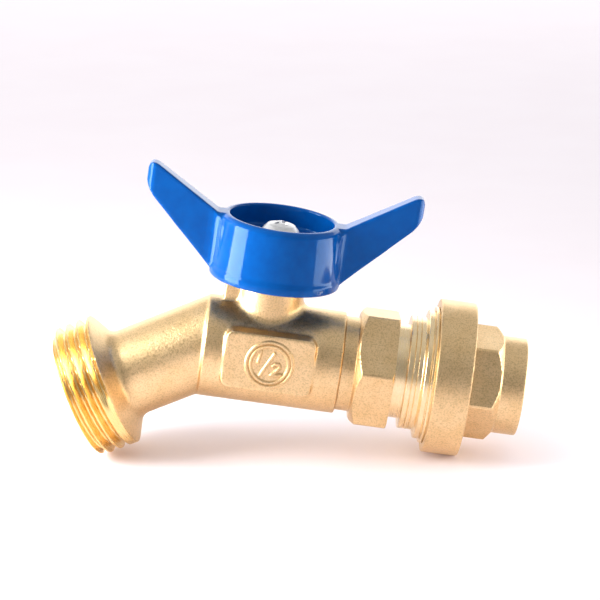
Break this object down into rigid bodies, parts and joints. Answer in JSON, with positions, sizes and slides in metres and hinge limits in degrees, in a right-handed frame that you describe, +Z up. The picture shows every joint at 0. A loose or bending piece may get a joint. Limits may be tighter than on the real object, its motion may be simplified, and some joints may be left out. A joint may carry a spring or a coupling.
{
  "type": "hose bib",
  "caption": "Quarter-turn brass hose bib: wing handle over a ball valve, angled male hose-thread outlet, and a screwed union with a solder socket for the supply pipe.",
  "frame": {"origin": "centre of the solder socket's mouth, on the inlet axis", "axes": "+X out of the socket along the supply pipe, +Z up the valve stem to the handle, +Y away from the side with the size mark"},
  "size_m": [0.0939, 0.0308, 0.0609],
  "materials": {
    "forged_brass": "sand-blasted satin forging",
    "machined_brass": "turned, semi-bright",
    "chromed_ball": "polished chrome plate",
    "ptfe": "white PTFE",
    "seal_rubber": "black nitrile rubber",
    "blue_enamel": "glossy blue enamel on a die casting",
    "plated_steel": "zinc plated"
  },
  "bodies": {
    "coupling": {"inlet_coupling": "forged_brass"},
    "gasket": {"union_gasket": "seal_rubber"},
    "valve": {"valve_body": "forged_brass", "end_adapter": "machined_brass", "adapter_o_ring": "seal_rubber", "outlet_seat": "ptfe", "inlet_seat": "ptfe", "stem_thrust_washer": "ptfe", "packing_ring_1": "ptfe", "packing_ring_2": "ptfe", "packing_ring_3": "ptfe", "gland_follower": "machined_brass", "gland_nut": "machined_brass"},
    "ball": {"ball": "chromed_ball"},
    "handle": {"handle": "blue_enamel", "stem": "machined_brass", "stem_o_ring": "seal_rubber", "handle_screw": "plated_steel", "handle_flat_washer": "plated_steel", "handle_lock_washer": "plated_steel"}
  },
  "joints": [
    {"name": "union_travel", "type": "slide", "parent": "coupling", "child": "gasket", "axis": [-1, 0, 0], "range_m": [0, 0.00305]},
    {"name": "union_turn", "type": "hinge", "parent": "gasket", "child": "valve", "pos_m": [0, 0, 0], "axis": [-1, 0, 0], "range_deg": [0, 1080]},
    {"name": "handle_turn", "type": "hinge", "parent": "valve", "child": "handle", "pos_m": [-0.052, 0, 0], "axis": [0, 0, 1], "range_deg": [-90, 0]},
    {"name": "ball_turn", "type": "hinge", "parent": "valve", "child": "ball", "pos_m": [-0.052, 0, 0], "axis": [0, 0, 1], "range_deg": [-90, 0]}
  ],
  "couplings": [
    {"joint": "union_travel", "follows": "union_turn", "m_per_rad": 0.00015915},
    {"joint": "ball_turn", "follows": "handle_turn", "ratio": 1}
  ]
}
